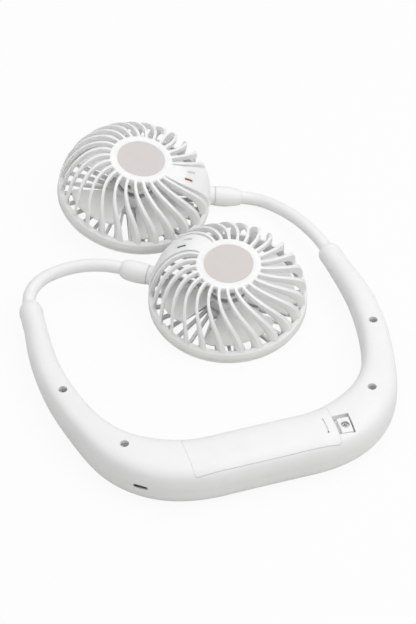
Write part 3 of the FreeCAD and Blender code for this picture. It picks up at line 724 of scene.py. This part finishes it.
@dataclass
class NeckSleeve:
    """Smooth soft sleeve of one gooseneck, curving through its three hinges.

    The arm end is the right arm's, which the left one mirrors. The ratio is that of the last arc's
    tangent to the first arc's, and the boot's reach counts from the joint in the head.
    """

    side: Side
    collar_length: float
    ratio: float
    arm_end: Triple = (78.8907 * MM, 119.9794 * MM, 10.9 * MM)
    arm_turn_deg: float = 6.0
    boot_reach: float = 16.0 * MM
    lead: float = 6.0 * MM
    tail: float = 6.0 * MM
    radius: float = 3.3 * MM
    hinge_shares: Triple = (0.17, 0.5, 0.83)
    reach: float = 7.5 * MM
    ring_step: float = 0.8 * MM
    ring_points: int = 28
    least_steps: int = 2

    def collar_mouth(self) -> tuple[Vector, Vector]:
        """Middle of the collar's mouth.

        Returns:
            The point and the neck's direction there.
        """
        turn = math.radians(self.arm_turn_deg)
        along = self.side.mirrored((-math.sin(turn), math.cos(turn), 0.0))
        return self.side.mirrored(self.arm_end) + along * self.collar_length, along

    def boot_mouth(self) -> tuple[Vector, Vector]:
        """Middle of the boot's mouth.

        Returns:
            The point and the neck's direction there.
        """
        twist, inward = joint_line(self.side.value + "_head_twist")
        return twist - inward * self.boot_reach, inward

    def arcs(self) -> list[Arc]:
        """Two tangent arcs from the collar to the boot.

        Returns:
            The arcs, the collar's first.
        """
        start, along = self.collar_mouth()
        end, inward = self.boot_mouth()
        chord = end - start
        pull = along + inward * self.ratio
        square = pull.dot(pull) - (1 + self.ratio) ** 2
        linear = -2 * chord.dot(pull)
        root = math.sqrt(linear * linear - 4 * square * chord.dot(chord))
        reach = max((-linear - root) / (2 * square), (-linear + root) / (2 * square))
        first, last = start + along * reach, end - inward * (self.ratio * reach)
        join = (first * self.ratio + last) / (1 + self.ratio)
        return [Arc.through(start, along, join),
                Arc.through(join, (last - first).normalized(), end)]

    def place(self, run: float) -> tuple[Vector, Vector]:
        """Point and tangent at a run from the collar's mouth.

        Args:
            run: Length along the neck; negative inside the collar.

        Returns:
            The point and the tangent.
        """
        if run <= 0:
            start, along = self.collar_mouth()
            return start + along * run, along
        for arc in self.arcs():
            if run <= arc.length:
                return arc.place(run)
            run -= arc.length
        end, inward = self.boot_mouth()
        return end + inward * run, inward

    def free_length(self) -> float:
        """Length of the two arcs."""
        return sum(arc.length for arc in self.arcs())

    def _tube(self, name: str, low: float, high: float,
              material: bpy.types.Material) -> bpy.types.Object:
        """Closed tube along a stretch of the neck, with true round normals.

        Args:
            name: Piece name.
            low: First run.
            high: Last run.
            material: The finish.

        Returns:
            The tube.
        """
        count = max(self.least_steps, round((high - low) / self.ring_step))
        across = Vector(UP)
        points, normals = [], []
        for index in range(count + 1):
            point, tangent = self.place(low + (high - low) * index / count)
            across = (across - tangent * across.dot(tangent)).normalized()
            other = tangent.cross(across)
            for turn in ring_turns(self.ring_points):
                normal = across * math.cos(turn) + other * math.sin(turn)
                points.append(point + normal * self.radius)
                normals.append(normal)
        faces = ring_faces(count + 1, self.ring_points, closed=False)
        caps = end_caps(count + 1, self.ring_points)
        made = make_piece(name, points, faces + caps, material)
        first, last = self.place(low)[1], self.place(high)[1]
        loops = []
        for polygon in made.data.polygons:
            flat = {len(faces): -first, len(faces) + 1: last}.get(polygon.index)
            loops += [tuple(flat or normals[vertex]) for vertex in polygon.vertices]
        made.data.normals_split_custom_set(loops)
        return made

    def build(self, material: bpy.types.Material) -> list[bpy.types.Object]:
        """Make the sleeve in three lengths that meet between the hinges.

        Args:
            material: The finish.

        Returns:
            The three lengths.
        """
        side = self.side.value
        free = self.free_length()
        hinges = [free * share for share in self.hinge_shares]
        joins = [(first + second) / 2 for first, second in zip(hinges, hinges[1:])]
        stops = [-self.lead, *joins, free + self.tail]
        nodes = [(0,), (1,), (2, 3)]
        made = []
        for index, hinge in enumerate(hinges):
            piece = self._tube(f"{side}_sleeve_{index}", stops[index], stops[index + 1], material)
            low, high = self.place(hinge - self.reach)[0], self.place(hinge + self.reach)[0]
            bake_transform(piece)
            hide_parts(*(f"{side}_neck_sleeve_{number}" for number in nodes[index]))
            LOG.info("built %s", piece.name)
            made.append(piece)
        return made


@dataclass
class NeckBoot:
    """Barrel-shaped soft boot where a neck runs into its fan head.

    The profile gives the run from the base and the radius of each knot in millimetres. The base's
    reach counts from the joint in the head.
    """

    side: Side
    profile: tuple[Pair, ...]
    base_reach: float = 2.15 * MM
    bore: float = 3.4 * MM
    ring_points: int = 48
    smooth_steps: int = 4

    def outline(self) -> list[Pair]:
        """Smooth closed outline through the profile's knots, bore included.

        Returns:
            Run from the base and radius of each point, both in metres.
        """
        knots = [(run * MM, radius * MM) for run, radius in self.profile]
        made = []
        for index in range(len(knots) - 1):
            before, first = knots[max(index - 1, 0)], knots[index]
            second, after = knots[index + 1], knots[min(index + 2, len(knots) - 1)]
            for step in range(self.smooth_steps):
                made.append(tuple(self._curve(step / self.smooth_steps, *values)
                                  for values in zip(before, first, second, after)))
        made.append(knots[-1])
        return made + [(knots[-1][0], self.bore), (knots[0][0], self.bore)]

    @staticmethod
    def _curve(share: float, before: float, first: float, second: float, after: float) -> float:
        """Catmull-Rom value between two knots.

        Args:
            share: Share of the way from the first knot to the second.
            before: The knot before the first.
            first: The first knot.
            second: The second knot.
            after: The knot after the second.

        Returns:
            The value.
        """
        slope = second - before
        bend = 2 * before - 5 * first + 4 * second - after
        twist = after - before + 3 * (first - second)
        return first + share * (slope + share * (bend + share * twist)) / 2

    def build(self, material: bpy.types.Material) -> bpy.types.Object:
        """Turn the outline round the neck's line.

        Args:
            material: The finish.

        Returns:
            The boot.
        """
        twist, inward = joint_line(self.side.value + "_head_twist")
        outward = -inward
        base = twist + outward * self.base_reach
        across = Vector(UP).cross(outward).normalized()
        other = outward.cross(across)
        outline = self.outline()
        points = []
        for run, radius in outline:
            for turn in ring_turns(self.ring_points):
                aside = across * math.cos(turn) + other * math.sin(turn)
                points.append(base + outward * run + aside * radius)
        name = self.side.value + "_barrel_boot"
        made = make_piece(name, points, ring_faces(len(outline), self.ring_points), material)
        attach(made, self.side.value + "_neck_upper")
        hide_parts(self.side.value + "_boot")
        LOG.info("built %s", name)
        return made


@dataclass
class FanWheel:
    """Four-blade fan wheel under the dome of its cage.

    Seen from the hub disc, each blade is high on its counter-clockwise edge. Heights count from
    the head's centre along its axis, and turns from the direction of its boot.
    """

    side: Side
    phase_deg: float
    joint_height: float = 3.4 * MM
    blades: int = 4
    span_deg: float = 67.0
    root_radius: float = 9.8 * MM
    tip_radius: float = 33.6 * MM
    tip_round_share: float = 0.045
    tip_round_power: int = 5
    low: float = 3.45 * MM
    thickness: float = 1.2 * MM
    thinning_share: float = 0.65
    edge_power: int = 10
    tip_power: int = 24
    root_rise: float = 6.0 * MM
    tip_rise: float = 7.6 * MM
    hub_top: float = 10.5 * MM
    hub_radius: float = 10.5 * MM
    hub_wall: float = 1.4 * MM
    hub_edge: float = 0.4 * MM
    boss_radius: float = 2.4 * MM
    bore: float = 1.02 * MM
    dome_foot: float = 8.0 * MM
    dome_rise: float = 16.4 * MM
    dome_inner: float = 16.4 * MM
    dome_outer: float = 33.8 * MM
    dome_gap: float = 0.2 * MM
    rows: int = 14
    columns: int = 20
    ring_points: int = 72

    def _point(self, radius: float, turn: float, height: float) -> Vector:
        """Point in the head's own frame.

        Args:
            radius: Distance from the head's axis.
            turn: Angle from the direction of the boot.
            height: Height over the head's centre.

        Returns:
            The point in the CAD frame.
        """
        spin, upward = joint_line(self.side.value + "_fan_spin")
        first = -joint_line(self.side.value + "_head_twist")[1]
        second = upward.cross(first)
        aside = first * math.cos(turn) + second * math.sin(turn)
        return spin + aside * radius + upward * (height - self.joint_height)

    def _ceiling(self, radius: float) -> float:
        """Highest place that the cage's dome leaves free.

        Args:
            radius: Distance from the head's axis.

        Returns:
            The height.
        """
        share = max(0.0, (radius - self.dome_inner) / (self.dome_outer - self.dome_inner))
        arch = math.sqrt(max(0.0, 1.0 - share ** 2))
        return self.dome_foot + self.dome_rise * arch - self.dome_gap

    def _sheets(self, middle: float) -> tuple[list[Vector], list[Vector]]:
        """Upper and under side of one blade.

        Args:
            middle: Turn of the blade's middle line.

        Returns:
            The points of both sides, row by row from the root.
        """
        half = math.radians(self.span_deg) / 2
        upper, under = [], []
        for row in range(self.rows + 1):
            share = row / self.rows
            rise = self.root_rise + (self.tip_rise - self.root_rise) * share
            for column in range(self.columns + 1):
                across = 2 * column / self.columns - 1
                rounding = self.tip_round_share * abs(across) ** self.tip_round_power
                tip = self.tip_radius * (1 - rounding)
                radius = self.root_radius + (tip - self.root_radius) * share
                edge = max(abs(across) ** self.edge_power, share ** self.tip_power)
                thin = 1 - self.thinning_share * edge
                lift = self.low + self.thickness + rise * (1 + across) / 2
                top = min(lift, self._ceiling(radius)) - self.thickness * (1 - thin) / 2
                turn = middle + half * across
                upper.append(self._point(radius, turn, top))
                under.append(self._point(radius, turn, top - self.thickness * thin))
        return upper, under

    def _blade(self, middle: float) -> tuple[list[Vector], Faces]:
        """One closed blade.

        Args:
            middle: Turn of the blade's middle line.

        Returns:
            Points and faces, with the faces turned outward.
        """
        upper, under = self._sheets(middle)
        wide, size = self.columns + 1, len(upper)
        faces = []
        for row in range(self.rows):
            for column in range(self.columns):
                first = row * wide + column
                quad = (first, first + wide, first + wide + 1, first + 1)
                faces += [quad, tuple(size + number for number in reversed(quad))]
        last = self.rows * wide
        border = [row * wide for row in range(self.rows)]
        border += [last + column for column in range(self.columns)]
        border += [row * wide + self.columns for row in range(self.rows, 0, -1)]
        border += list(range(self.columns, 0, -1))
        for here, there in zip(border, border[1:] + border[:1]):
            faces.append((size + here, size + there, there, here))
        return upper + under, faces

    def _hub(self) -> tuple[list[Vector], Faces]:
        """Open cup with a bored boss.

        Returns:
            Points and faces, with the faces turned outward.
        """
        floor, inner = self.low + self.hub_wall, self.hub_radius - self.hub_wall
        outline = [(self.hub_radius - self.hub_edge, self.low),
                   (self.hub_radius, self.low + self.hub_edge),
                   (self.hub_radius, self.hub_top), (inner, self.hub_top), (inner, floor),
                   (self.boss_radius, floor), (self.boss_radius, self.hub_top),
                   (self.bore, self.hub_top), (self.bore, self.low)]
        points = [self._point(radius, turn, height)
                  for radius, height in outline for turn in ring_turns(self.ring_points)]
        return points, ring_faces(len(outline), self.ring_points)

    def build(self, material: bpy.types.Material) -> bpy.types.Object:
        """Join the hub and the blades into one closed wheel.

        Args:
            material: The finish.

        Returns:
            The wheel.
        """
        name = self.side.value + "_fan_wheel"
        made = make_piece(name, *self._hub(), material)
        points, faces = [], []
        for turn in ring_turns(self.blades):
            blade, quads = self._blade(math.radians(self.phase_deg) + turn)
            faces += [tuple(len(points) + number for number in quad) for quad in quads]
            points += blade
        blades = make_piece(name + "_blades", points, faces, material)
        union = made.modifiers.new("union", "BOOLEAN")
        union.operation, union.solver, union.object = "UNION", "EXACT", blades
        split = made.modifiers.new("triangles", "TRIANGULATE")
        split.quad_method = split.ngon_method = "BEAUTY"
        joined = made.evaluated_get(bpy.context.evaluated_depsgraph_get())
        whole = bpy.data.meshes.new_from_object(joined)
        made.modifiers.clear()
        made.data = whole
        soften(whole)
        bpy.data.meshes.remove(blades.data)
        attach(made, self.side.value + "_fan")
        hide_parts(self.side.value + "_impeller")
        LOG.info("built %s", name)
        return made


@dataclass
class BatteryCell:
    """Wrapped cell with rolled edges and a raised positive end.

    The profile gives the run along the band and the radius of each ring in millimetres.
    """

    height: float = 10.9 * MM
    ring_points: int = 96
    profile: tuple[Pair, ...] = (
        (-32.5, 2.0), (-32.5, 8.0), (-32.42, 8.45), (-32.2, 8.8), (-31.85, 9.05), (-31.4, 9.15),
        (31.4, 9.15), (31.85, 9.05), (32.2, 8.8), (32.42, 8.45), (32.5, 8.0), (32.5, 7.2),
        (32.3, 7.1), (32.3, 3.0), (32.5, 2.8), (33.25, 2.75), (33.4, 2.6), (33.4, 1.0))

    def build(self, material: bpy.types.Material) -> bpy.types.Object:
        """Turn the cell's outline round its long axis.

        Args:
            material: The finish.

        Returns:
            The cell.
        """
        points = []
        for run, radius in self.profile:
            for turn in ring_turns(self.ring_points):
                aside, lift = radius * MM * math.cos(turn), radius * MM * math.sin(turn)
                points.append((run * MM, aside, self.height + lift))
        rows, ring = len(self.profile), self.ring_points
        faces = ring_faces(rows, ring, closed=False) + end_caps(rows, ring)
        made = make_piece("wrapped_cell", points, faces, material)
        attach(made, "neckband")
        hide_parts("battery_cell")
        LOG.info("built %s", made.name)
        return made


@dataclass
class Neckband:
    """Band shells, battery door and what is inside them."""

    cell: BatteryCell = field(default_factory=BatteryCell)

    def build(self, palette: Palette) -> None:
        """Dress the band's pieces and make its cell.

        Args:
            palette: The finishes.
        """
        dress(palette.shell, "rear_shell", "front_shell", "battery_door", "power_button")
        dress(palette.steel, "shell_screws", "door_screw", "positive_contact",
              "negative_contact", "usb_socket")
        dress(palette.board, "control_board", "switch_board")
        dress(palette.dark, "tact_switch")
        self.cell.build(palette.cell)


@dataclass
class FanHead:
    """One caged fan head, with the collar, anchor and core of its neck."""

    side: Side

    def build(self, palette: Palette) -> None:
        """Dress the head's pieces.

        Args:
            palette: The finishes.
        """
        side = self.side.value
        dress(palette.cage, side + "_rear_cage", side + "_front_grille")
        dress(palette.soft, side + "_collar")
        dress(palette.inner, side + "_motor_holder", side + "_neck_anchor")
        dress(palette.label, side + "_hub_label")
        dress(palette.steel, side + "_motor", side + "_motor_shaft",
              *(f"{side}_neck_core_{number}" for number in range(NECK_LENGTHS)))
        dress(palette.board, side + "_light_board")
        lit_first = self.side is Side.LEFT
        dress(palette.teal if lit_first else palette.clear, side + "_indicator_lens_a")
        dress(palette.clear if lit_first else palette.red, side + "_indicator_lens_b")


@dataclass(frozen=True)
class SoftLamp:
    """One soft square lamp."""

    name: str
    place: Triple
    size: float
    watts: float

    def hang(self, aim: Triple) -> None:
        """Hang the lamp.

        Args:
            aim: The point that it faces.
        """
        data = bpy.data.lights.new(self.name, "AREA")
        data.size, data.energy = self.size, self.watts
        made = bpy.data.objects.new(self.name, data)
        made.location = self.place
        made.rotation_mode = "QUATERNION"
        made.rotation_quaternion = (Vector(self.place) - Vector(aim)).to_track_quat("Z", "Y")
        bpy.context.scene.collection.objects.link(made)


@dataclass
class Studio:
    """Floor, soft lamps, world and camera."""

    target: Triple = (9.636 * MM, 112.294 * MM, 0.0)
    azimuth_deg: float = 17.727
    elevation_deg: float = 43.847
    distance: float = 1514.31 * MM
    focal_pixels: float = 3000.0
    image_long_side: float = 624.0
    sensor_width: float = 36.0
    clip_range: Pair = (0.05, 50.0)
    floor_half: float = 4.0
    floor_height: float = -0.2 * MM
    floor_colour: Colour = (0.73, 0.735, 0.70)
    floor_shade: Colour = (0.75, 0.755, 0.72)
    floor_cloud_size: float = 0.2
    floor_cloud_detail: float = 2.0
    floor_white_share: float = 0.92
    sky_low: float = 0.31
    sky_gain: float = 0.47
    sky_range: Pair = (0.0, 0.7)
    lamp_aim: Triple = (0.0, 0.1, 0.0)
    lamps: tuple[SoftLamp, ...] = (
        SoftLamp("overhead_softbox", place=(0.4, 0.3, 1.3), size=1.2, watts=5.1),
        SoftLamp("front_softbox", place=(0.8, -0.6, 1.15), size=0.9, watts=4.7))

    def camera(self) -> None:
        """Stand the camera where the photograph was taken."""
        turn, lift = math.radians(self.azimuth_deg), math.radians(self.elevation_deg)
        back = Vector((-math.sin(turn) * math.cos(lift), -math.cos(turn) * math.cos(lift),
                       math.sin(lift)))
        data = bpy.data.cameras.new("studio_camera")
        data.sensor_width = self.sensor_width
        data.lens = self.focal_pixels / self.image_long_side * self.sensor_width
        data.clip_start, data.clip_end = self.clip_range
        made = bpy.data.objects.new("studio_camera", data)
        made.location = Vector(self.target) + back * self.distance
        made.rotation_mode = "QUATERNION"
        made.rotation_quaternion = back.to_track_quat("Z", "Y")
        bpy.context.scene.collection.objects.link(made)
        bpy.context.scene.camera = made

    def floor(self) -> None:
        """Lay a plain pale floor that the camera sees as near white, with a soft shadow."""
        made = bpy.data.materials.new("studio_floor")
        shader = Shader(made)
        path = shader.node("ShaderNodeLightPath")
        seen = Sock(shader, path.outputs["Is Camera Ray"])
        cloud = shader.noise(shader.place(), self.floor_cloud_size, self.floor_cloud_detail)
        colour = shader.mix(self.floor_colour, self.floor_shade, cloud)
        matt = shader.out("ShaderNodeBsdfDiffuse", None, {"Color": colour}, "BSDF")
        white = shader.out("ShaderNodeEmission", None, {"Color": WHITE_LIGHT, "Strength": 1.0},
                           "Emission")
        both = shader.out("ShaderNodeMixShader", None,
                          {0: seen * self.floor_white_share, 1: matt, 2: white}, "Shader")
        shader.node("ShaderNodeOutputMaterial", None, {"Surface": both})
        half, height = self.floor_half, self.floor_height
        corners = [(-half, -half, height), (half, -half, height),
                   (half, half, height), (-half, half, height)]
        piece = make_piece("studio_floor", corners, [(0, 1, 2, 3)], made)

    def world(self) -> None:
        """Light from all round, with a white backdrop for the camera and through clear pieces."""
        made = bpy.data.worlds.new("studio_world")
        bpy.context.scene.world = made
        shader = Shader(made)
        path = shader.node("ShaderNodeLightPath")
        seen = (Sock(shader, path.outputs["Is Camera Ray"])
                + Sock(shader, path.outputs["Is Transmission Ray"]))
        place = shader.out("ShaderNodeTexCoord", name="Generated")
        height = shader.out("ShaderNodeSeparateXYZ", None, {0: place}, "Z")
        sky = self.sky_low + shader.step(height, *self.sky_range) * self.sky_gain
        strength = sky + seen * (1.0 - sky)
        back = shader.out("ShaderNodeBackground", None,
                          {"Color": WHITE_LIGHT, "Strength": strength}, "Background")
        shader.node("ShaderNodeOutputWorld", None, {"Surface": back})

    def build(self) -> None:
        """Set up the whole studio."""
        self.camera()
        self.floor()
        self.world()
        for lamp in self.lamps:
            lamp.hang(self.lamp_aim)
        bpy.context.scene.view_settings.view_transform = "Standard"


NECKS = (
    NeckSleeve(Side.LEFT, collar_length=13.4 * MM, ratio=1.5),
    NeckSleeve(Side.RIGHT, collar_length=7.0 * MM, ratio=0.30),
)

BOOTS = (
    NeckBoot(Side.LEFT,
             profile=((0.0, 4.95), (0.3, 5.15), (3.0, 5.4), (6.0, 5.5), (9.0, 5.4), (11.0, 5.15),
                      (12.4, 4.75), (13.3, 4.3), (13.75, 3.95), (13.85, 3.7))),
    NeckBoot(Side.RIGHT,
             profile=((0.0, 4.95), (0.3, 5.12), (3.0, 5.3), (6.0, 5.3), (9.0, 4.88), (11.0, 4.58),
                      (12.4, 4.3), (13.3, 4.1), (13.75, 3.85), (13.85, 3.65))),
)

WHEELS = (
    FanWheel(Side.LEFT, phase_deg=29.0),
    FanWheel(Side.RIGHT, phase_deg=34.0),
)


def main() -> None:
    """Build the visual model and the studio."""
    logging.basicConfig(level=logging.INFO)
    palette = Palette()
    Neckband().build(palette)
    for neck in NECKS:
        neck.build(palette.soft)
        FanHead(neck.side).build(palette)
    for boot in BOOTS:
        boot.build(palette.soft)
    for wheel in WHEELS:
        wheel.build(palette.wheel)
    Studio().build()


if __name__ == "__main__":
    main()
